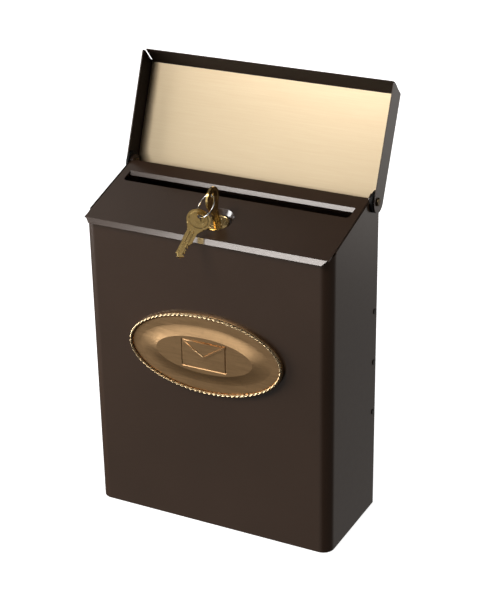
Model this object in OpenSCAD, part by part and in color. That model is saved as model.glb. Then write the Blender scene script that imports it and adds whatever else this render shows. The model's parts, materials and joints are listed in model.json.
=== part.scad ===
// Locking wall mounted mailbox: a folded sheet steel case with a sloping locked
// door, a weather lid that leans back over it, a cast oval plaque and two keys.
// +X is the viewer's right, +Y goes back to the wall, +Z is up. Millimetres.

/* [Case] */
// Width of the case over its side walls
case_w = 244; // [220:1:260]
// Depth of the case, front wall to back panel
case_d = 101.7; // [98:0.1:106]
// Height of the door's front edge above the floor
front_h = 292.7; // [260:0.1:330]
// Slope of the door, degrees, rising to the back
slope = 16.6; // [14:0.1:19]
// Sheet thickness
sheet = 1; // [0.8:0.1:1.2]
// Outer radius of the case's two front corners
corner_r = 11; // [8:0.5:14]

/* [Hinge] */
// Distance of the hinge pivot in front of the back face
pivot_in = 12.2; // [11.8:0.1:12.6]
// Depth of the pivot under the door's surface
pivot_drop = 4.8; // [4.4:0.1:5.2]
// Diameter of the pivot rivets
pivot_d = 5; // [4:0.5:5]

/* [Weather lid] */
// Angle the lid has been turned open from closed, degrees
lid_open = 128.3; // [60:0.1:128.3]
// Lid length from pivot to front fold
lid_len = 96; // [94:0.5:100]
// Height of the lid's inner face over the pivot
lid_rise = 12.4; // [12.2:0.1:13]
// Depth of the lid's side flanges
lid_flange = 20.3; // [18:0.1:22]
// Length of the lid's front flange
front_flange = 19.5; // [14:0.5:20]
// Flare of the front flange from square, degrees
lid_flare = 28; // [10:1:32]

/* [Door] */
// Distance from the door's front edge to the mail slot
slot_at = 59.3; // [56:0.1:62]
// Opening of the mail slot along the slope
slot_gap = 15; // [10:0.5:15]
// Half width of the mail slot
slot_half = 113.3; // [90:0.1:114]
// Distance from the door's front edge to the lock's axis
lock_at = 27.5; // [26:0.5:30]
// Depth of the lock's dished recess
dish_depth = 5; // [4:0.5:6]

/* [Plaque] */
// Half width of the plaque, over its rope rim
plaque_a = 77.5; // [60:0.5:90]
// Half height of the plaque, over its rope rim
plaque_b = 39; // [30:0.5:45]
// Height of the plaque's centre
plaque_z = 180; // [120:1:200]

/* [Keys] */
// Diameter of a key's bow
bow_d = 21.5; // [18:0.5:23]
// Length of a key from the bow's centre to the tip
key_len = 42.5; // [40:0.5:44]

/* [Hidden] */
$fn = 96;
hw = case_w / 2;                      // outer face of a side wall
run = 0.3;                            // gap between moving sheets
fit = 0.06;                           // running fit on the pivots, radial
lip_y = -1.4;                         // door's front edge, over the front wall
lip_half = 119.1;
lip_len = 5.2;
lip_bend = 36;                        // lip's bend down from the door, degrees
strip_len = 4.2;                      // guide strip at the slot's far edge
strip_bend = 42;
pivot_y = case_d - pivot_in;
cs = cos(slope);
sn = sin(slope);
pivot_s = (pivot_y - lip_y + pivot_drop * -sn) / cs;   // pivot along the slope
pivot_z = front_h + pivot_s * sn - pivot_drop * cs;
door_half = hw - sheet - 0.6;
ear_r = 7;
flange_in = hw + 2.8;                 // inner face of a lid flange
flange_out = flange_in + sheet;
lid_rear = 4.3;                       // lid plate behind the pivot
liner_t = 0.6;
end_r = lid_flange / 2;
back_top = pivot_z - 8.95;            // the open lid leans on this edge
wall_step = pivot_z - 10.2;
strike_z = front_h - 19.2;            // underside of the bracket that the cam turns under
// The origin is under the middle of the open mailbox's depth.
tip_y = -32.7;
fold_y = pivot_y + lid_len * sin(lid_open - 90 - slope)
       + (lid_rise + sheet) * cos(lid_open - 90 - slope);
org_y = (tip_y + fold_y) / 2;

rivet_y = case_d - 5.2;
rivet_zs = [102, 153.7, 205.4];
stud_x = 45;
rope_r = 1.4;
base_t = 2.4;                         // plaque's base under the rope
face_t = 3;                           // plaque's rim face
raise = 2.6;                          // raised centre over the rim face
foot = 0.84;                          // foot and flat top of the raised centre, as shares
flat_top = 0.57;

bezel_t = 2;
plug_r = 6;
face_k = -dish_depth + bezel_t + 0.1; // plug's face under the door's surface
barrel_end = -22;
cam_k = -25.6;
cam_t = 2;
key_t = 2;
blade_t = 1.9;
blade_w = 8;
hole_up = 3.5;                        // key ring hole above the bow's centre
bow_k = key_len - 19.7;               // bow's centre over the door's surface
ring_r = 10.7;
wire_r = 0.6;
// Key ring holes and the spare key's tip: across, along the slope, above it.
hole_a = [0, lock_at, bow_k + hole_up];
hole_b = hole_a + [-6.1, -15.4, -13.5];
spare_dir = [0.0076, -0.979, -0.204];
spare_nrm = [0.532, -0.169, 0.83];
ring_tan = [0.836, -0.509, 0.205];

function dot3(a, b) = a[0] * b[0] + a[1] * b[1] + a[2] * b[2];
function unit(a) = a / norm(a);

// Everything sits in the frame whose origin is under the middle of the depth.
module place() { translate([0, -org_y, 0]) children(); }
// On the door's surface: y runs up the slope from the front edge, z is square to it.
module on_slope() { place() translate([0, lip_y, front_h]) rotate([slope, 0, 0]) children(); }
// At the pivot, level with the slope, turned open by an angle.
module at_pivot(open) {
    place() translate([0, pivot_y, pivot_z]) rotate([slope - open, 0, 0]) children();
}
// A plate across X from a side profile in y and z.
module across(x, t) { translate([x, 0, 0]) rotate([90, 0, 90]) linear_extrude(t) children(); }
module rod_x(x, r, len) { translate([x, 0, 0]) rotate([0, 90, 0]) cylinder(r = r, h = len); }
// Puts a child's x on the normal, its y along the direction.
module aim(at, dir, nrm) {
    d = unit(dir);
    n = unit(nrm - dot3(nrm, d) * d);
    w = cross(n, d);
    multmatrix([[n[0], d[0], w[0], at[0]], [n[1], d[1], w[1], at[1]],
                [n[2], d[2], w[2], at[2]], [0, 0, 0, 1]]) children();
}

// ---- case ----
module plan(half, front, r, back) {
    translate([-half, front + r]) square([2 * half, back - front - r]);
    translate([-half + r, front]) square([2 * (half - r), r + 1]);
    for (s = [-1, 1]) translate([s * (half - r), front + r]) circle(r = r);
}
// Height of a line parallel to the door's surface, k above it, at a depth y.
function slope_z(y, k) = front_h + (y - lip_y) * tan(slope) + k / cs;

module shell_profile(k) {
    polygon([[-1, -1], [case_d, -1], [case_d, wall_step], [pivot_y + ear_r, wall_step],
        [pivot_y + ear_r, pivot_z], [pivot_y, slope_z(pivot_y, k)], [-1, slope_z(-1, k)]]);
}
module wall_profile() {
    polygon([[corner_r, 0], [case_d, 0], [case_d, wall_step], [pivot_y + ear_r, wall_step],
        [pivot_y + ear_r, pivot_z], [pivot_y, slope_z(pivot_y, 0)],
        [corner_r, slope_z(corner_r, 0)]]);
    translate([pivot_y, pivot_z]) circle(r = ear_r);
}
module body_shell() color([0.22, 0.18, 0.15]) place() difference() {
    union() {
        intersection() {
            difference() {
                linear_extrude(360) plan(hw, 0, corner_r, case_d);
                translate([0, 0, -1]) linear_extrude(362)
                    plan(hw - sheet, sheet, corner_r - sheet, case_d + 5);
            }
            across(-hw - 5, 2 * hw + 10) shell_profile(-1.4);
        }
        for (x = [-hw, hw - sheet]) across(x, sheet) wall_profile();
        // inward flange along the top of the front wall
        translate([-hw + corner_r + 3, sheet / 2, front_h - 2.7])
            cube([case_w - 2 * corner_r - 6, 8 - sheet / 2, sheet]);
    }
    translate([0, pivot_y, pivot_z]) rod_x(-hw - 5, pivot_d / 2, case_w + 10);
    for (z = rivet_zs) translate([0, rivet_y, z]) rod_x(-hw - 5, 1.6, case_w + 10);
    for (s = [-1, 1]) translate([s * stud_x, 3, plaque_z]) rotate([90, 0, 0])
        cylinder(r = 2.02, h = 6);
}
module back_panel() color([0.2, 0.17, 0.15]) place() difference() {
    in = hw - sheet;
    union() {
        translate([-in, case_d - sheet, 0]) cube([2 * in, sheet, back_top]);
        for (x = [-in, in - sheet]) translate([x, case_d - 12, 15])
            cube([sheet, 12 - sheet / 2, back_top - 29]);
    }
    for (x = [-80, 80], z = [60, 260]) translate([x, case_d + 1, z]) rotate([90, 0, 0])
        cylinder(r = 3, h = 4);
    for (z = rivet_zs) translate([0, rivet_y, z]) rod_x(-hw - 5, 1.6, case_w + 10);
}
module bottom_panel() color([0.2, 0.17, 0.15]) place() difference() {
    in = hw - sheet;
    back = case_d - sheet;
    r = corner_r - sheet;
    mid = r * (1 - cos(45));
    union() {
        linear_extrude(sheet) polygon([[-in, back], [-in, corner_r], [-in + mid, sheet + mid],
            [-in + r, sheet], [in - r, sheet], [in - mid, sheet + mid], [in, corner_r],
            [in, back]]);
        for (x = [-in, in - sheet]) translate([x, corner_r + 2, 0])
            cube([sheet, case_d - corner_r - 16, 13]);
        translate([-in + r + 2, sheet, 0]) cube([2 * (in - r - 2), sheet, 13]);
        translate([-in + 3, back - sheet, 0]) cube([2 * (in - 3), sheet, 13]);
    }
    for (x = [-70, 70], y = [25, 75]) translate([x, y, -1]) cylinder(r = 3, h = 4);
}
// Angle bracket behind the front wall that the lock's cam turns under.
module strike_bracket() color([0.45, 0.44, 0.42]) place() {
    translate([-20, sheet, strike_z]) cube([40, 1.2, 13]);
    translate([-20, sheet, strike_z]) cube([40, 12, 1.2]);
}
// Trough under the door's rear edge that carries rain to the sides.
module rain_gutter() color([0.2, 0.17, 0.15]) place() {
    back = case_d - sheet;
    translate([-hw + 8, back - 16, pivot_z - 13.8]) cube([case_w - 16, 16, sheet]);
    translate([-hw + 8, back - 17, pivot_z - 13.8]) cube([case_w - 16, sheet, 9]);
}
module side_rivet(s, z) color([0.14, 0.13, 0.12]) place() translate([0, rivet_y, z])
    mirror([s < 0 ? 1 : 0, 0, 0]) {
        rod_x(hw - 2 * sheet - 0.8, 1.6, 2 * sheet + 1.4);
        rod_x(hw, 2.6, 0.6);
        rod_x(hw - 2 * sheet - 0.8, 2.5, 0.8);
    }
module pivot_rivet(s) color([0.16, 0.14, 0.13]) place() translate([0, pivot_y, pivot_z])
    mirror([s < 0 ? 1 : 0, 0, 0]) {
        rod_x(door_half - sheet - 1.6, pivot_d / 2, flange_out - door_half + sheet + 2.4);
        rod_x(flange_out + 0.2, 3.9, 0.8);
        translate([flange_out + 1, 0, 0]) rotate([0, 90, 0]) cylinder(r1 = 3.9, r2 = 2.8, h = 0.6);
        rod_x(door_half - sheet - 1.7, 4, 1.4);
    }
module pivot_spacer(s) color([0.05, 0.05, 0.05]) place() translate([0, pivot_y, pivot_z])
    mirror([s < 0 ? 1 : 0, 0, 0]) difference() {
        rod_x(hw, 10, 2.4);
        rod_x(hw - 1, pivot_d / 2, 5);
    }

// ---- plaque ----
function oval(a, b) = [for (i = [0 : 71]) [a * cos(i * 5), b * sin(i * 5)]];
module plaque_up() { place() translate([0, 0, plaque_z]) rotate([90, 0, 0]) children(); }
module envelope() {
    ew = 22;
    eh = 13;
    w = 1.1;
    difference() {
        square([2 * ew, 2 * eh], center = true);
        square([2 * (ew - w), 2 * (eh - w)], center = true);
    }
    for (m = [0, 1]) mirror([m, 0]) polygon([[-ew + w, eh - w - 1.4], [-ew + w, eh - w],
        [-ew + w + 1, eh - w], [0, -1.2], [0, -2.7]]);
}
module plaque_plate() color([0.49, 0.39, 0.26]) plaque_up() difference() {
    union() {
        linear_extrude(base_t) polygon(oval(plaque_a - 0.3, plaque_b - 0.3));
        linear_extrude(face_t) polygon(oval(plaque_a - 3.1, plaque_b - 3.1));
        translate([0, 0, face_t - 0.01]) linear_extrude(raise, scale = flat_top / foot)
            polygon(oval(foot * plaque_a, foot * plaque_b));
    }
    translate([0, 0, face_t + raise - 0.5]) linear_extrude(1) envelope();
}
module plaque_rope() color([0.6, 0.5, 0.34]) plaque_up() {
    n = 72;
    m = 8;
    a = plaque_a - rope_r;
    b = plaque_b - rope_r;
    ring = [for (i = [0 : n - 1], j = [0 : m - 1]) let (
        t = i * 360 / n,
        f = 22.5 + j * 45,
        q = rope_r / cos(22.5),
        nn = unit([b * cos(t), a * sin(t)]),
        out = q * cos(f))
        [a * cos(t) + nn[0] * out, b * sin(t) + nn[1] * out, base_t + rope_r + q * sin(f)]];
    quads = [for (i = [0 : n - 1], j = [0 : m - 1]) [i * m + j, i * m + (j + 1) % m,
        ((i + 1) % n) * m + (j + 1) % m, ((i + 1) % n) * m + j]];
    polyhedron(points = ring, faces = quads, convexity = 6);
}
module plaque_stud(s) color([0.5, 0.4, 0.27]) place() translate([s * stud_x, 7, plaque_z])
    rotate([90, 0, 0]) cylinder(r = 2, h = 7);
module push_nut(s) color([0.6, 0.6, 0.6]) place() translate([s * stud_x, sheet, plaque_z])
    rotate([-90, 0, 0]) difference() {
        union() {
            cylinder(r = 6, h = 0.8);
            cylinder(r = 3.2, h = 1.6);
        }
        translate([0, 0, -1]) cylinder(r = 2, h = 4);
    }

// ---- lid ----
module flange_profile() {
    low = lid_rise + sheet - lid_flange;
    reach = lid_flange * tan(lid_flare) * 0.8;
    difference() {
        union() {
            polygon([[-lid_len, lid_rise + sheet], [-lid_len - reach * 0.9, low + 2],
                [2 - lid_len - reach, low], [0, low], [0, lid_rise + sheet]]);
            translate([0, low + end_r]) circle(r = end_r);
        }
        circle(r = pivot_d / 2 + fit);
    }
}
// The lid's sheet from its rear edge over the front fold to the flared free edge.
module lid_profile() {
    top = [-lid_len, lid_rise + sheet];
    down = [-sin(lid_flare), -cos(lid_flare)];
    in = sheet * [cos(lid_flare), -sin(lid_flare)];
    fold = sheet * (1 - sin(lid_flare)) / cos(lid_flare);
    polygon([[lid_rear, lid_rise + sheet], top, top + front_flange * down,
        top + front_flange * down + in, top + in + fold * down, [lid_rear, lid_rise]]);
}
module weather_lid() color([0.2, 0.17, 0.15]) at_pivot(lid_open) {
    half = flange_out - 0.3;
    r = 3;
    difference() {
        across(-half, 2 * half) lid_profile();
        // rounded free corners of the front flange
        for (m = [0, 1]) mirror([m, 0, 0]) translate([0, -lid_len, lid_rise + sheet])
            rotate([-90 - lid_flare, 0, 0]) translate([half - r, front_flange - r, -1])
                difference() {
                    cube([r + 1, r + 1, sheet + 2]);
                    cylinder(r = r, h = 9, center = true);
                }
    }
    for (x = [-flange_out, flange_in]) across(x, sheet) flange_profile();
}
module lid_liner() color([0.85, 0.72, 0.52]) at_pivot(lid_open)
    translate([-flange_in + 0.6, -lid_len + 1.2, lid_rise - liner_t])
        cube([2 * flange_in - 1.2, lid_len + 1.2, liner_t]);

// ---- door ----
module slot_shape() {
    r = 4;
    translate([-slot_half, slot_at + r]) square([2 * slot_half, slot_gap - r]);
    translate([-slot_half + r, slot_at]) square([2 * (slot_half - r), r + 1]);
    for (s = [-1, 1]) translate([s * (slot_half - r), slot_at + r]) circle(r = r);
}
module locking_door() color([0.24, 0.19, 0.16]) {
    rear = pivot_s - 2.8;
    on_slope() difference() {
        union() {
            translate([-door_half, 0, -sheet]) cube([2 * door_half, rear, sheet]);
            // side flanges with their pivot ears
            for (x = [-door_half, door_half - sheet]) across(x, sheet) {
                polygon([[13, -8], [pivot_s, -8], [pivot_s, 0], [13, 0]]);
                translate([pivot_s, -pivot_drop]) circle(r = ear_r);
            }
            // turned down near edge of the slot, and the rear edge
            translate([-slot_half + 4, slot_at - sheet, -5.4]) cube([2 * slot_half - 8, sheet, 5]);
            translate([-slot_half + 2, rear - sheet, -7]) cube([2 * slot_half - 4, sheet, 7]);
            // dished lock recess
            translate([0, lock_at, 0]) rotate_extrude()
                polygon([[9, -dish_depth - sheet], [12.8, -dish_depth - sheet],
                    [17, -sheet], [17, 0], [9, 0]]);
        }
        translate([0, 0, -sheet - 1]) linear_extrude(sheet + 2) slot_shape();
        translate([0, lock_at, 0]) rotate_extrude()
            polygon([[0, -dish_depth], [12.2, -dish_depth], [16, 0], [16, 1], [0, 1]]);
        translate([0, lock_at, -dish_depth - 3]) linear_extrude(5) lock_section(0.1);
        translate([0, pivot_s, -pivot_drop]) rod_x(-hw, pivot_d / 2 + fit, case_w);
    }
    // flared front lip with mitred ends, and the guide strip at the far edge of the slot
    on_slope() bent(0, lip_bend)
        polygon([[-lip_half, 0], [lip_half, 0], [lip_half - 4.3, -lip_len], [4.3 - lip_half, -lip_len]]);
    on_slope() bent(slot_at + slot_gap, strip_bend)
        translate([-slot_half, -strip_len]) square([2 * slot_half, strip_len]);
}
// A strip of sheet bent down by an angle from a line across the door.
module bent(at, angle) {
    translate([0, at, 0]) rotate([angle, 0, 0]) translate([0, 0, -sheet])
        linear_extrude(sheet) children();
}
// The lock's barrel: round with two flats.
module lock_section(gap) {
    intersection() {
        circle(r = 9.4 + gap);
        square([16 + 2 * gap, 30], center = true);
    }
}
module at_lock() { on_slope() translate([0, lock_at, 0]) children(); }
module lock_housing() color([0.6, 0.5, 0.3]) at_lock() difference() {
    union() {
        translate([0, 0, -dish_depth]) cylinder(r = 11, h = bezel_t - 0.5);
        translate([0, 0, -dish_depth + bezel_t - 0.5]) cylinder(r1 = 11, r2 = 10.3, h = 0.5);
        translate([0, 0, barrel_end]) linear_extrude(-barrel_end - dish_depth) lock_section(0);
    }
    translate([0, 0, barrel_end - 1]) cylinder(r = plug_r + fit, h = 40);
    translate([0, 0, face_k - 1.5]) cylinder(r = 7.6 + fit, h = 10);
}
module lock_nut() color([0.7, 0.7, 0.68]) at_lock() difference() {
    translate([0, 0, -dish_depth - sheet - 3]) cylinder(r = 12.5, h = 3, $fn = 6);
    translate([0, 0, -dish_depth - sheet - 4]) linear_extrude(5) lock_section(0);
}
module lock_plug() color([0.68, 0.56, 0.33]) at_lock() difference() {
    union() {
        translate([0, 0, face_k - 1.4]) cylinder(r = 7.6, h = 1.4);
        translate([0, 0, barrel_end - 0.3]) cylinder(r = plug_r, h = face_k - barrel_end);
        translate([-3.5, -3.5, cam_k]) cube([7, 7, barrel_end - cam_k]);
    }
    translate([-blade_t / 2 - 0.2, -blade_w / 2 - 0.3, -20.6])
        cube([blade_t + 0.4, blade_w + 0.6, 30]);
    translate([0, 0, cam_k - 1]) cylinder(r = 1.8, h = 4.2);
}
module lock_cam() color([0.62, 0.61, 0.58]) at_lock() translate([0, 0, cam_k + 0.1]) difference() {
    linear_extrude(cam_t) union() {
        circle(r = 8.5);
        translate([-24, -6]) square([24, 12]);
        translate([-24, 0]) circle(r = 6);
    }
    translate([-3.5, -3.5, -1]) cube([7, 7, 5]);
}
module cam_screw() color([0.7, 0.7, 0.68]) at_lock() {
    translate([0, 0, cam_k - 1]) cylinder(r = 5, h = 1);
    translate([0, 0, cam_k - 3]) difference() {
        cylinder(r = 3.4, h = 2);
        translate([-4, -0.5, -1]) cube([8, 1, 2]);
    }
    translate([0, 0, cam_k - 1]) cylinder(r = 1.8, h = 4);
}

// ---- keys ----
// A flat key: x is its thickness, y runs from the ring hole to the tip.
module key_shape() {
    c = hole_up;
    difference() {
        union() {
            translate([c, 0]) circle(r = bow_d / 2);
            translate([c + 6, -4.75]) square([bow_k + 2.6 - 6, 9.5]);
            polygon([[c + 8, -7.6], [c + 13.5, -4.75], [c + 13.5, 4.75], [c + 8, 7.6]]);
            polygon([[c + 18, -blade_w / 2], [c + key_len - 3, -blade_w / 2],
                [c + key_len, -1], [c + key_len, 1], [c + key_len - 2.4, blade_w / 2],
                [c + 18, blade_w / 2]]);
        }
        circle(r = 2.5);
        for (i = [0 : 3]) let (at = c + bow_k + 6 + i * 3.1, cut = [1.6, 2.6, 1.2, 2.1][i])
            polygon([[at - 1.9, blade_w / 2 + 0.01], [at - 0.6, blade_w / 2 - cut],
                [at + 0.6, blade_w / 2 - cut], [at + 1.9, blade_w / 2 + 0.01]]);
    }
}
module key_solid() difference() {
    translate([0, 0, 0]) rotate([0, 90, 0]) rotate([0, 0, 90])
        translate([0, 0, -blade_t / 2]) linear_extrude(blade_t) key_shape();
    // stamped oblong and the milled groove along the blade
    for (m = [0, 1]) mirror([m, 0, 0])
        translate([blade_t / 2 - 0.25, hole_up + 3.2, -3]) cube([1, 2, 6]);
    translate([blade_t / 2 - 0.4, hole_up + bow_k + 4, -1.6]) cube([1, 20, 1.1]);
}
module lock_key() color([0.75, 0.62, 0.3]) on_slope()
    aim(hole_a, [0, 0, -1], [1, 0, 0]) key_solid();
module key_ring() color([0.75, 0.75, 0.74]) on_slope() {
    d = unit(hole_b - hole_a);
    aim((hole_a + hole_b) / 2, d, cross(d, ring_tan)) rotate([0, 90, 0])
        rotate_extrude() translate([norm(hole_b - hole_a) / 2, 0]) circle(r = wire_r, $fn = 32);
}
module spare_key() color([0.75, 0.62, 0.3]) on_slope()
    aim(hole_b, spare_dir, spare_nrm) key_solid();

body_shell();
back_panel();
bottom_panel();
strike_bracket();
rain_gutter();
side_rivet(-1, rivet_zs[0]);  // side_rivet_l1
side_rivet(-1, rivet_zs[1]);  // side_rivet_l2
side_rivet(-1, rivet_zs[2]);  // side_rivet_l3
side_rivet(1, rivet_zs[0]);  // side_rivet_r1
side_rivet(1, rivet_zs[1]);  // side_rivet_r2
side_rivet(1, rivet_zs[2]);  // side_rivet_r3
pivot_rivet(-1);  // pivot_rivet_left
pivot_rivet(1);  // pivot_rivet_right
pivot_spacer(-1);  // pivot_spacer_left
pivot_spacer(1);  // pivot_spacer_right
plaque_plate();
plaque_rope();
plaque_stud(-1);  // plaque_stud_left
plaque_stud(1);  // plaque_stud_right
push_nut(-1);  // push_nut_left
push_nut(1);  // push_nut_right
weather_lid();
lid_liner();
locking_door();
lock_housing();
lock_nut();
lock_plug();
lock_cam();
cam_screw();
lock_key();
key_ring();
spare_key();
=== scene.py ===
import json
import math

import bmesh
import bpy
from mathutils import Matrix, Vector

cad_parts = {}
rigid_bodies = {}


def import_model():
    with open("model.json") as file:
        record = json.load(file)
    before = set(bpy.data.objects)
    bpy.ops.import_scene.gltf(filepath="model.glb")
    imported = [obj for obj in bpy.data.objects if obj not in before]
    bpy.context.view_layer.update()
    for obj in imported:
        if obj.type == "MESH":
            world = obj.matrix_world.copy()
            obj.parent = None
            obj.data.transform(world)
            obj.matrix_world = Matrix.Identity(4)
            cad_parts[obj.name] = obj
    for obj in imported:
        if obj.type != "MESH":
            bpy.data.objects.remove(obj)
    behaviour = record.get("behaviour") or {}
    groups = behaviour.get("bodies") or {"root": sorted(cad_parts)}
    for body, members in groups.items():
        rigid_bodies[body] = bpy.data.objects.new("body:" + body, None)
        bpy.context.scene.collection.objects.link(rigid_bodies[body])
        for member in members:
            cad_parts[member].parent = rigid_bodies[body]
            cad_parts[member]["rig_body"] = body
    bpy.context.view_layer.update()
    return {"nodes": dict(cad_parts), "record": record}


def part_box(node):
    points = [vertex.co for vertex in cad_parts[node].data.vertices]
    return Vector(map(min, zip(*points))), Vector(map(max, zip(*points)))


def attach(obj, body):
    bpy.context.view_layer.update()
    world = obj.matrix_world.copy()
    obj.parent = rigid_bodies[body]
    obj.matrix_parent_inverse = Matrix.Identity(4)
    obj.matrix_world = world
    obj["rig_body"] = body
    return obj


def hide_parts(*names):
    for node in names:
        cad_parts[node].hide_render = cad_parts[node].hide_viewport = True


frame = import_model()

MM = 0.001
X_AXIS = Vector((1, 0, 0))
NODES = frame["nodes"]
BODY_OF = {node: ob["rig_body"] for node, ob in NODES.items()}
SLOT_OF = {s["node"]: s["material_slot"] for s in frame["record"]["subparts"]}


# ---- camera ----
CAMERA_RIGHT = Vector((0.89324954, 0.4493749, -0.01294073))
CAMERA_UP = Vector((-0.18550222, 0.39464885, 0.89991178))
CAMERA_BACK = Vector((0.40950481, -0.80144525, 0.43587995))
CAMERA_AT = Vector((0.640006, -1.203041, 0.836912))


def make_camera():
    camera = bpy.data.objects.new("camera", bpy.data.cameras.new("camera"))
    bpy.context.scene.collection.objects.link(camera)
    place = Matrix.Identity(4)
    for col, axis in enumerate((CAMERA_RIGHT, CAMERA_UP, CAMERA_BACK, CAMERA_AT)):
        for row in range(3):
            place[row][col] = axis[row]
    camera.matrix_world = place
    camera.data.sensor_width = 36
    camera.data.lens = 98.246
    camera.data.shift_x = -0.02978
    camera.data.shift_y = 0.05556
    camera.data.clip_start = 0.05
    camera.data.clip_end = 50
    bpy.context.scene.camera = camera


make_camera()
bpy.context.scene.view_settings.view_transform = "Standard"


# ---- materials ----
class Nodes:
    """Short calls for building one node tree, a material's or the world's."""

    def __init__(self, tree):
        self.tree = tree

    def put(self, socket, value):
        """Links another node's socket into this one, or sets a constant on it."""
        if isinstance(value, bpy.types.NodeSocket):
            self.tree.links.new(value, socket)
        else:
            socket.default_value = value

    def add(self, kind, inputs=(), **props):
        node = self.tree.nodes.new("ShaderNode" + kind)
        for key, value in props.items():
            setattr(node, key, value)
        for key, value in dict(inputs).items():
            self.put(node.inputs[key], value)
        return node

    def ramp(self, value, low, high, to_low, to_high, **props):
        return self.add("MapRange", {"Value": value, "From Min": low, "From Max": high,
                                     "To Min": to_low, "To Max": to_high}, **props).outputs[0]

    def mix(self, factor, a, b):
        node = self.add("Mix", data_type="RGBA")
        for name, value in (("Factor", factor), ("A", a), ("B", b)):
            self.put([i for i in node.inputs if i.name == name and i.enabled][0], value)
        return [o for o in node.outputs if o.enabled][0]


class Surface(Nodes):
    """One material, with its patterns laid out in the object's own coordinates."""

    def __init__(self, name, **sockets):
        self.material = bpy.data.materials.new(name)
        self.material.use_nodes = True
        super().__init__(self.material.node_tree)
        self.shader = self.tree.nodes["Principled BSDF"]
        for key, value in sockets.items():
            self.to(key.replace("_", " "), value)
        self.coords = self.add("TexCoord").outputs["Object"]

    def to(self, socket, value):
        self.put(self.shader.inputs[socket], value)

    def noise(self, scale, stretch=(1, 1, 1), detail=3, rough=0.5):
        mapped = self.add("Mapping", {"Vector": self.coords, "Scale": stretch})
        return self.add("TexNoise", {"Vector": mapped.outputs[0], "Scale": scale,
                                     "Detail": detail, "Roughness": rough}).outputs["Fac"]

    def bump(self, height, distance, strength):
        return self.add("Bump", {"Height": height, "Distance": distance,
                                 "Strength": strength}).outputs[0]


def rgb(r, g, b):
    return (r, g, b, 1)


def paint(name, dark, light, rough, spec, coat=0.0):
    """Satin powder coat: slow tone drift, fine flake and the orange peel of the cured film."""
    m = Surface(name, Metallic=0.0, Specular_IOR_Level=spec, Coat_Weight=coat, Coat_Roughness=0.15)
    drift = m.noise(9, detail=2)
    flake = m.noise(1700, detail=2, rough=0.7)
    tone = m.mix(m.ramp(drift, 0.3, 0.7, 0.0, 1.0), dark, light)
    bright_flake = rgb(*(min(1, 2.2 * c) for c in light[:3]))
    m.to("Base Color", m.mix(m.ramp(flake, 0.56, 0.8, 0.0, 0.4), tone, bright_flake))
    m.to("Roughness", m.ramp(m.noise(260), 0.3, 0.7, rough - 0.02, rough + 0.02))
    m.to("Normal", m.bump(m.noise(420, detail=1, rough=0.4), 0.00005, 0.12))
    return m.material


def metal(name, dark, light, rough, grain=(1, 1, 1), scale=700, streak=0.5, spot=None, wear=0.12,
          depth=0.22, vary=0.05):
    """Bare or lacquered metal with a grain stretched along one axis and fine handling marks."""
    m = Surface(name, Metallic=1.0)
    lines = m.noise(scale, stretch=grain, detail=4, rough=0.65)
    cloud = m.noise(38, detail=4)
    tone = m.mix(m.ramp(lines, 0.3, 0.7, 0.5 - streak / 2, 0.5 + streak / 2), dark, light)
    tone = m.mix(m.ramp(cloud, 0.35, 0.75, 0.0, wear), tone, dark)
    if spot is not None:
        tone = m.mix(m.ramp(m.noise(210, detail=5, rough=0.7), 0.55, 0.75, 0.0, 0.5), tone, spot)
    m.to("Base Color", tone)
    m.to("Roughness", m.ramp(lines, 0.25, 0.75, rough - vary, rough + vary))
    m.to("Normal", m.bump(lines, 0.00003, depth))
    return m.material


BRONZE = paint("bronze_paint", rgb(0.046, 0.025, 0.0145), rgb(0.054, 0.0295, 0.0175), 0.3, 0.5, 0.8)
# Lighter, glossier paint on eased edges: a painted highlight along the bends and folds.
BRONZE_EDGE_HIGHLIGHT = paint("bronze_edge_highlight", rgb(0.07, 0.05, 0.038), rgb(0.085, 0.062, 0.048), 0.27, 0.6, 0.9)
# Near-black paint: painted shade for the lid's inner faces and for the case's eased edges and faces
# along the door's slope, where shade falls.
PAINTED_SHADE = paint("bronze_painted_shade", rgb(0.02, 0.012, 0.008), rgb(0.026, 0.016, 0.011), 0.45, 0.3)
GOLD = metal("gold_sheet", rgb(0.71, 0.56, 0.36), rgb(0.765, 0.635, 0.43), 0.29,
             grain=(0.03, 1, 1), scale=800, streak=0.6, depth=0.03, vary=0.012)
ANTIQUE = metal("antique_brass", rgb(0.54, 0.335, 0.165), rgb(0.73, 0.465, 0.235), 0.36,
                grain=(0.05, 1, 1), scale=800, streak=0.6, spot=rgb(0.46, 0.29, 0.15), wear=0.4)
ROPE = metal("rope_brass", rgb(0.50, 0.37, 0.21), rgb(0.66, 0.51, 0.31), 0.27, scale=500)
LOCK = metal("lock_brass", rgb(0.62, 0.45, 0.20), rgb(0.78, 0.60, 0.30), 0.26, scale=900)
KEY = metal("key_brass", rgb(0.68, 0.47, 0.17), rgb(0.92, 0.68, 0.30), 0.24, scale=300,
            spot=rgb(0.44, 0.31, 0.12), wear=0.3)
DARK = paint("dark_steel", rgb(0.02, 0.017, 0.014), rgb(0.028, 0.024, 0.02), 0.3, 0.5)
ZINC = metal("zinc_steel", rgb(0.42, 0.42, 0.41), rgb(0.58, 0.58, 0.56), 0.38, scale=300)
WIRE = metal("ring_steel", rgb(0.6, 0.6, 0.58), rgb(0.75, 0.75, 0.73), 0.18, scale=900)
NYLON = paint("black_nylon", rgb(0.005, 0.005, 0.005), rgb(0.008, 0.008, 0.008), 0.5, 0.2)
RIVET = metal("rivet_bronze", rgb(0.13, 0.095, 0.05), rgb(0.22, 0.165, 0.09), 0.27, scale=400)
FINISH = {"bronze_paint": BRONZE, "gold_sheet": GOLD, "antique_brass": ANTIQUE,
          "rope_brass": ROPE, "lock_brass": LOCK, "key_brass": KEY, "dark_steel": DARK,
          "zinc_steel": ZINC, "ring_steel": WIRE, "black_nylon": NYLON}


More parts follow.
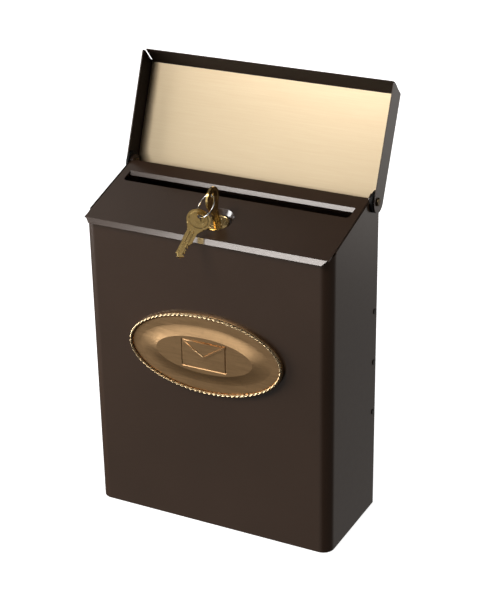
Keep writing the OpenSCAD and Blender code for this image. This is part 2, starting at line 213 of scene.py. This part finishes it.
# ---- building pieces ----
def finish_mesh(bm, name, materials, sharp=35):
    """A mesh object from bm, smooth except where its faces meet at more than sharp degrees."""
    bmesh.ops.recalc_face_normals(bm, faces=bm.faces)
    for f in bm.faces:
        f.smooth = True
    for e in bm.edges:
        e.smooth = not (e.is_manifold and e.calc_face_angle(0) > math.radians(sharp))
    mesh = bpy.data.meshes.new(name)
    bm.to_mesh(mesh)
    bm.free()
    for m in materials:
        mesh.materials.append(m)
    ob = bpy.data.objects.new(name, mesh)
    bpy.context.scene.collection.objects.link(ob)
    return ob


def stand_in(ob, node):
    """Puts ob on the CAD node's body, in its place, and hides the node."""
    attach(ob, BODY_OF[node])
    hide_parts(node)


def cut(ob, bm):
    """Takes the closed solid in bm away from ob's mesh."""
    cutter = finish_mesh(bm, "cutter", [])
    modifier = ob.modifiers.new("cut", "BOOLEAN")
    modifier.operation, modifier.object, modifier.solver = "DIFFERENCE", cutter, "EXACT"
    bpy.context.view_layer.update()
    done = bpy.data.meshes.new_from_object(ob.evaluated_get(bpy.context.evaluated_depsgraph_get()))
    ob.modifiers.clear()
    ob.data = done
    bpy.data.objects.remove(cutter)


def weigh_normals(ob, weight=50):
    """Keeps large flat faces flat in the shading, next to small or curved ones."""
    weighted = ob.modifiers.new("weighted", "WEIGHTED_NORMAL")
    weighted.weight = weight
    weighted.keep_sharp = True


def eased(node, width, materials, segments=2, inside=None, dark_edge=None, away=()):
    """The node's own shape with its edges eased, as bent and deburred metal has them.

    Of two or three materials, the second is for the eased edges and for faces that look along
    dark_edge, and the third for faces that look toward the point inside. The callers give as
    second material a lighter paint, a painted highlight, except for the case, whose eased edges
    and faces along dark_edge get a near-black paint, painted shade; the third material is that
    painted shade as well. The solids in away are cut off first.
    """
    bm = bmesh.new()
    bm.from_mesh(NODES[node].data)
    bmesh.ops.remove_doubles(bm, verts=bm.verts, dist=2e-6)
    bmesh.ops.dissolve_limit(bm, angle_limit=math.radians(0.4), verts=bm.verts, edges=bm.edges)
    for f in bm.faces:
        f.material_index = 0
        if inside is not None:
            toward_middle = (inside - f.calc_center_median()).normalized()
            if f.normal.dot(toward_middle) > 0.12:
                f.material_index = 2
        if dark_edge is not None and f.normal.dot(dark_edge) > 0.995:
            f.material_index = 1
    ob = finish_mesh(bm, node + "_shown", materials, sharp=180)
    for solid in away:
        cut(ob, solid)
    if away:
        ob.data.set_sharp_from_angle(angle=math.radians(12))
    bevel = ob.modifiers.new("eased", "BEVEL")
    bevel.width = width
    bevel.segments = segments
    bevel.limit_method = "ANGLE"
    bevel.angle_limit = math.radians(25)
    bevel.harden_normals = True
    if len(materials) > 1:
        bevel.material = 1
    weigh_normals(ob, weight=100)
    stand_in(ob, node)


def loop_faces(bm, rings, wrap=False):
    """Quads between neighbouring closed rings of points, wrapped round or capped at both ends."""
    made = [[bm.verts.new(p) for p in ring] for ring in rings]
    pairs = list(zip(made, made[1:])) + ([(made[-1], made[0])] if wrap else [])
    for a, b in pairs:
        for i in range(len(a)):
            j = (i + 1) % len(a)
            bm.faces.new((a[i], a[j], b[j], b[i]))
    if not wrap:
        bm.faces.new(made[0][::-1])
        bm.faces.new(made[-1])


def lofted(rings, wrap=False):
    bm = bmesh.new()
    loop_faces(bm, rings, wrap)
    return bm


def block(at, axes, sizes):
    """A bmesh block centred at a point, along three axes."""
    (x, y, z), (a, b, c) = axes, sizes
    return lofted([[at + x * a * i / 2 + y * b * j / 2 + z * k * c / 2
                    for i, j in ((-1, -1), (1, -1), (1, 1), (-1, 1))] for k in (-1, 1)])


def groove(start, end, across, out, half, deep):
    """A bmesh V groove between two points on a surface whose outward direction is out."""
    return lofted([[p + across * half + out * half, p - across * half + out * half,
                    p - across * half, p - out * deep, p + across * half] for p in (start, end)])


def turns(count):
    """Evenly spaced angles round one turn."""
    return [2 * math.pi * i / count for i in range(count)]


def turned(at, axis, profile, count=72):
    """A bmesh ring: the (radius, height) profile turned about an axis through a point."""
    x = axis.orthogonal().normalized()
    y = axis.cross(x)
    return lofted([[at + (x * math.cos(t) + y * math.sin(t)) * r + axis * h for r, h in profile]
                   for t in turns(count)], wrap=True)


def disc(at, axis, radius, height, flare, count=72):
    """A bmesh disc that starts at a point and rises along an axis, widening by flare."""
    x = axis.orthogonal().normalized()
    y = axis.cross(x)
    return lofted([[at + (x * math.cos(t) + y * math.sin(t)) * r + axis * h for t in turns(count)]
                   for r, h in ((radius, 0), (radius + flare, height))])


# ---- case, lid and door ----
JOINTS = {joint["name"]: joint for joint in frame["record"]["behaviour"]["joints"]}
DOOR_OUT = Vector(JOINTS["lock_turn"]["axis"])
LID_FOLD = Vector((0, 0.0846, 0.3992))
# along the lid's front flange, from its fold to its free edge
FLANGE_WAY = Vector((0, -0.6467, 0.7626))
FLANGE_HALF = 125 * MM


def lid_mitres():
    """The open corners where the lid's front flange meets its side flanges, cut on the slant."""
    gap, length, through, clear_of_fold = 1.3 * MM, 19.6 * MM, 4 * MM, 1 * MM
    middle = LID_FOLD + FLANGE_WAY * (clear_of_fold + length / 2)
    return [block(middle + X_AXIS * side * FLANGE_HALF,
                  (X_AXIS, FLANGE_WAY, Vector((side * 0.739, 0.513, 0.435))),
                  (gap, length, through)) for side in (-1, 1)]


# The eased edges of these panels get the painted highlight.
for node, width in (("back_panel", 0.3 * MM), ("bottom_panel", 0.3 * MM), ("rain_gutter", 0.3 * MM),
                    ("locking_door", 0.35 * MM)):
    eased(node, width, [BRONZE, BRONZE_EDGE_HIGHLIGHT])
# The case's eased edges and its faces along the door's slope are painted in shade.
eased("body_shell", 0.3 * MM, [BRONZE, PAINTED_SHADE], dark_edge=DOOR_OUT)
liner_lo, liner_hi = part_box("lid_liner")
inside_lid = (liner_lo + liner_hi) / 2 + Vector((0, -12 * MM, -4 * MM))
# The lid's inner faces get painted shade and its eased edges a painted highlight.
eased("weather_lid", 0.35 * MM, [BRONZE, BRONZE_EDGE_HIGHLIGHT, PAINTED_SHADE], inside=inside_lid, away=lid_mitres())
eased("lid_liner", 0.15 * MM, [GOLD])


# ---- keys and lock ----
LOCK_AT = Vector(JOINTS["lock_turn"]["pos_m"])
KEY_HOLE = Vector(JOINTS["ring_swing"]["pos_m"])
SPARE_HOLE = Vector(JOINTS["spare_key_swing"]["pos_m"])
SPARE_FACE = Vector((0.532, -0.39908, 0.74713))
SPARE_DOWN = Vector((0.0076, -0.8799, -0.47519))


def key_cuts(hole, along, face):
    """What a key's two sides lose: a sunk bow face, a stamped oblong, and two milled grooves.

    hole is the centre of the key ring's hole, along points down the blade, and face is the
    direction that one side looks in.
    """
    half_thick, sunk = 0.95 * MM, 0.3 * MM
    hole_to_bow, hole_to_stamp = 3.5 * MM, 7.7 * MM
    blade_from, blade_to = 17 * MM, 43 * MM
    along = along.normalized()
    face = (face - along * face.dot(along)).normalized()
    across = face.cross(along)
    cuts = []
    for side in (-1, 1):
        out = face * side
        skin = hole + out * half_thick
        cuts.append(disc(skin + along * hole_to_bow - out * sunk, out, 8.1 * MM, 1 * MM, 3 * MM))
        cuts.append(block(skin + along * hole_to_stamp, (along, across, face),
                          (1.9 * MM, 5 * MM, 1 * MM)))
        for offset in (-1.9 * MM, 1.3 * MM):
            line = skin + across * offset
            cuts.append(groove(line + along * blade_from, line + along * blade_to, across, out,
                               half=0.7 * MM, deep=0.4 * MM))
    return cuts


def ring_groove(under_door, inner, outer, deep):
    """A turned V groove round the lock's axis, this far under the door's surface."""
    above, flare = 0.5 * MM, 0.2 * MM
    return turned(LOCK_AT - DOOR_OUT * under_door, DOOR_OUT,
                  [(inner - flare, above), (inner, 0), ((inner + outer) / 2, -deep), (outer, 0),
                   (outer + flare, above)])


eased("lock_key", 0.18 * MM, [KEY], away=key_cuts(KEY_HOLE, -DOOR_OUT, X_AXIS))
eased("spare_key", 0.18 * MM, [KEY], away=key_cuts(SPARE_HOLE, SPARE_DOWN, SPARE_FACE))
eased("lock_housing", 0.2 * MM, [LOCK], away=[ring_groove(3 * MM, 8.7 * MM, 9.5 * MM, 0.5 * MM)])
eased("lock_plug", 0.2 * MM, [LOCK], away=[ring_groove(2.9 * MM, 5.7 * MM, 6.3 * MM, 0.4 * MM)])
for side in ("left", "right"):
    eased("pivot_rivet_" + side, 0.3 * MM, [RIVET], segments=3)
for side in ("left", "right"):
    eased("pivot_spacer_" + side, 0.4 * MM, [NYLON], segments=3)


# ---- plaque, in its own axes ----
rope_lo, rope_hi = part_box("plaque_rope")
plate_lo, plate_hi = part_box("plaque_plate")
HALF_A = (rope_hi.x - rope_lo.x) / 2
HALF_B = (rope_hi.z - rope_lo.z) / 2
PLAQUE_Z = (rope_hi.z + rope_lo.z) / 2
WALL_Y = plate_hi.y
FACE_OUT = WALL_Y - plate_lo.y


def on_plaque(x, z, out):
    return Vector((x, WALL_Y - out, PLAQUE_Z + z))


def plaque_outline():
    """(half width, half height, height off the case) from the plate's back to its middle."""
    raised = 2.6 * MM
    rim = FACE_OUT - raised
    insets = ((0.3 * MM, 0), (0.3 * MM, 2 * MM), (0.6 * MM, 2.35 * MM), (2.7 * MM, 2.4 * MM),
              (3.1 * MM, 2.5 * MM), (3.25 * MM, rim - 0.15 * MM), (3.5 * MM, rim))
    stations = [(HALF_A - inset, HALF_B - inset, out) for inset, out in insets]
    foot_a, foot_b = 66.5 * MM, 27.5 * MM
    flat_a, flat_b = 49 * MM, 18 * MM
    stations += [(foot_a + 2 * MM, foot_b + 2 * MM, rim), (foot_a, foot_b, rim)]
    steps = 14
    for i in range(1, steps + 1):
        t = i / steps
        rise = t ** 1.3 * (1 - 0.1 * (1 - t))
        stations.append((foot_a + (flat_a - foot_a) * t, foot_b + (flat_b - foot_b) * t,
                         rim + raised * rise * 0.97))
    return stations + [(flat_a - k, flat_b - k, FACE_OUT) for k in (0.4 * MM, 1.2 * MM, 3 * MM)]


def engrave_envelope(plate):
    """V grooves along an envelope's outline and its flap."""
    w, h, flap = 22 * MM, 13 * MM, -1.5 * MM
    half, deep, above = 0.75 * MM, 0.5 * MM, 1 * MM
    for start, end in (((-w, -h), (w, -h)), ((w, -h), (w, h)), ((w, h), (-w, h)),
                       ((-w, h), (-w, -h)), ((-w, h), (0, flap)), ((0, flap), (w, h))):
        start, end = Vector(start), Vector(end)
        along = (end - start).normalized()
        side = Vector((-along.y, along.x))
        start, end = start - along * half * 0.6, end + along * half * 0.6
        cut(plate, lofted([[on_plaque(*(at + side * half), FACE_OUT),
                            on_plaque(*(at + side * half), FACE_OUT + above),
                            on_plaque(*(at - side * half), FACE_OUT + above),
                            on_plaque(*(at - side * half), FACE_OUT),
                            on_plaque(*at, FACE_OUT - deep)] for at in (start, end)]))


def make_plaque():
    """Cast oval plate: low rim face, a soft ring rising to the flat middle, an envelope."""
    rings = [[on_plaque(a * math.cos(t), b * math.sin(t), out) for t in turns(180)]
             for a, b, out in plaque_outline()]
    blank = finish_mesh(lofted(rings), "plaque_plate_blank", [ANTIQUE])
    engrave_envelope(blank)
    bm = bmesh.new()
    bm.from_mesh(blank.data)
    bpy.data.objects.remove(blank)
    bmesh.ops.remove_doubles(bm, verts=bm.verts, dist=1e-6)
    plate = finish_mesh(bm, "plaque_plate_face", [ANTIQUE], sharp=22)
    for face in plate.data.polygons:
        if abs(face.normal.y) > 0.9999:
            face.use_smooth = False
    weigh_normals(plate)
    stand_in(plate, "plaque_plate")


def even_steps(a, b, count):
    """Points an even distance apart along an oval with these half axes."""
    fine_steps = 4000
    fine = [Vector((a * math.cos(t), b * math.sin(t)))
            for t in (2 * math.pi * i / fine_steps for i in range(fine_steps + 1))]
    length = [0.0]
    for p, q in zip(fine, fine[1:]):
        length.append(length[-1] + (q - p).length)
    points, k = [], 0
    for i in range(count):
        want = length[-1] * i / count
        while length[k + 1] < want:
            k += 1
        points.append(fine[k].lerp(fine[k + 1], (want - length[k]) / (length[k + 1] - length[k])))
    return points


def make_rope():
    """Three strands laid around the plaque's edge, as one closed twisted section."""
    a, b = HALF_A - 1.4 * MM, HALF_B - 1.4 * MM
    twists, per_twist, around = 26, 24, 24
    strand, centre, height = 0.74 * MM, 0.68 * MM, 3.8 * MM
    count = twists * per_twist
    rings = []
    for i, p in enumerate(even_steps(a, b, count)):
        out = Vector((p.x / a ** 2, p.y / b ** 2)).normalized()
        twist = 2 * math.pi * twists * i / count
        ring = []
        for phi in turns(around):
            lobe = (phi + math.pi / 3) % (2 * math.pi / 3) - math.pi / 3
            r = centre * math.cos(lobe) + math.sqrt(strand ** 2 - (centre * math.sin(lobe)) ** 2)
            u, v = r * math.cos(phi + twist), r * math.sin(phi + twist)
            ring.append(on_plaque(p.x + out.x * u, p.y + out.y * u, height + v))
        rings.append(ring)
    rope = finish_mesh(lofted(rings, wrap=True), "plaque_rope_strands", [ROPE], sharp=60)
    stand_in(rope, "plaque_rope")


make_plaque()
make_rope()

for name, ob in NODES.items():
    if not ob.hide_render:
        ob.data.materials.clear()
        ob.data.materials.append(FINISH[SLOT_OF[name]])


# ---- stage ----
def make_floor():
    """A pale floor that only the camera sees, just under the box so that the two don't fight."""
    reach, under = 7, -0.5 * MM
    mesh = bpy.data.meshes.new("floor")
    mesh.from_pydata([(-reach, -reach, under), (reach, -reach, under), (reach, reach, under),
                      (-reach, reach, under)], [], [(0, 1, 2, 3)])
    mesh.materials.append(Surface("floor", Base_Color=rgb(0.8, 0.8, 0.8), Roughness=0.9,
                                  Specular_IOR_Level=0.1, Emission_Color=rgb(1, 1, 1),
                                  Emission_Strength=0.9).material)
    floor = bpy.data.objects.new("floor", mesh)
    bpy.context.scene.collection.objects.link(floor)
    floor.visible_glossy = False
    floor.visible_shadow = False
    floor.visible_diffuse = False


def softbox(name, at, aim, size, height, radiance, tint=(1, 1, 1)):
    light = bpy.data.lights.new(name, "AREA")
    light.shape = "RECTANGLE"
    light.size, light.size_y = size, height
    light.energy = radiance * math.pi * size * height
    light.color = tint
    ob = bpy.data.objects.new(name, light)
    ob.location = at
    ob.rotation_mode = "QUATERNION"
    ob.rotation_quaternion = (Vector(aim) - Vector(at)).to_track_quat("-Z", "Y")
    bpy.context.scene.collection.objects.link(ob)


# Soft cards of light in the world: direction, the cosines at which a card fades in and is full,
# and how bright it is.
CARDS = (((0.36, 0.80, -0.48), 0.84, 0.97, 0.13),
         ((0.36, 0.90, -0.25), 0.985, 0.999, 0.45),
         ((-0.66, 0.30, 0.68), 0.92, 0.99, 0.36),
         ((0.70, 0.0, 0.71), 0.90, 0.99, 0.7),
         ((-0.41, -0.80, -0.44), 0.80, 0.96, 0.13))


def make_world():
    """A dim warm surround with the cards in it; the camera itself sees plain white."""
    world = bpy.data.worlds.new("studio")
    bpy.context.scene.world = world
    world.use_nodes = True
    w = Nodes(world.node_tree)
    sky = w.tree.nodes["Background"]
    sky.inputs["Color"].default_value = rgb(1, 0.95, 0.9)
    toward = w.add("TexCoord").outputs["Generated"]
    level = w.add("Value").outputs[0]
    level.default_value = 0.04
    for aim, fades_in, full, bright in CARDS:
        cosine = w.add("VectorMath", {0: toward, 1: aim},
                       operation="DOT_PRODUCT").outputs["Value"]
        card = w.ramp(cosine, fades_in, full, 0.0, bright, interpolation_type="SMOOTHSTEP")
        level = w.add("Math", {0: level, 1: card}, operation="ADD").outputs[0]
    w.put(sky.inputs["Strength"], level)
    plain = w.add("Background", {"Color": rgb(1, 1, 1), "Strength": 1.0})
    seen = w.add("LightPath").outputs["Is Camera Ray"]
    both = w.add("MixShader", {0: seen, 1: sky.outputs[0], 2: plain.outputs[0]})
    w.put(w.tree.nodes["World Output"].inputs["Surface"], both.outputs[0])


make_floor()
softbox("key", (-0.5, -1.12, 1.44), (0, 0, 0.3), 0.6, 0.5, 10.8, (1, 0.94, 0.9))
softbox("low", (-0.42, -1.92, 0.24), (0, 0, 0.2), 1.0, 0.4, 2.1)
softbox("middle", (-0.7, -1.45, 0.92), (0, 0, 0.36), 0.7, 0.5, 0.95)
softbox("left", (-1.7, -0.7, 0.3), (0, 0, 0.15), 0.9, 0.9, 14.0)
softbox("rear", (-0.4, 2.1, 1.0), (0, 0, 0.2), 1.3, 1.0, 3.0)
softbox("right", (1.9, 0.3, 0.65), (0, 0, 0.2), 1.0, 0.9, 1.6)
make_world()
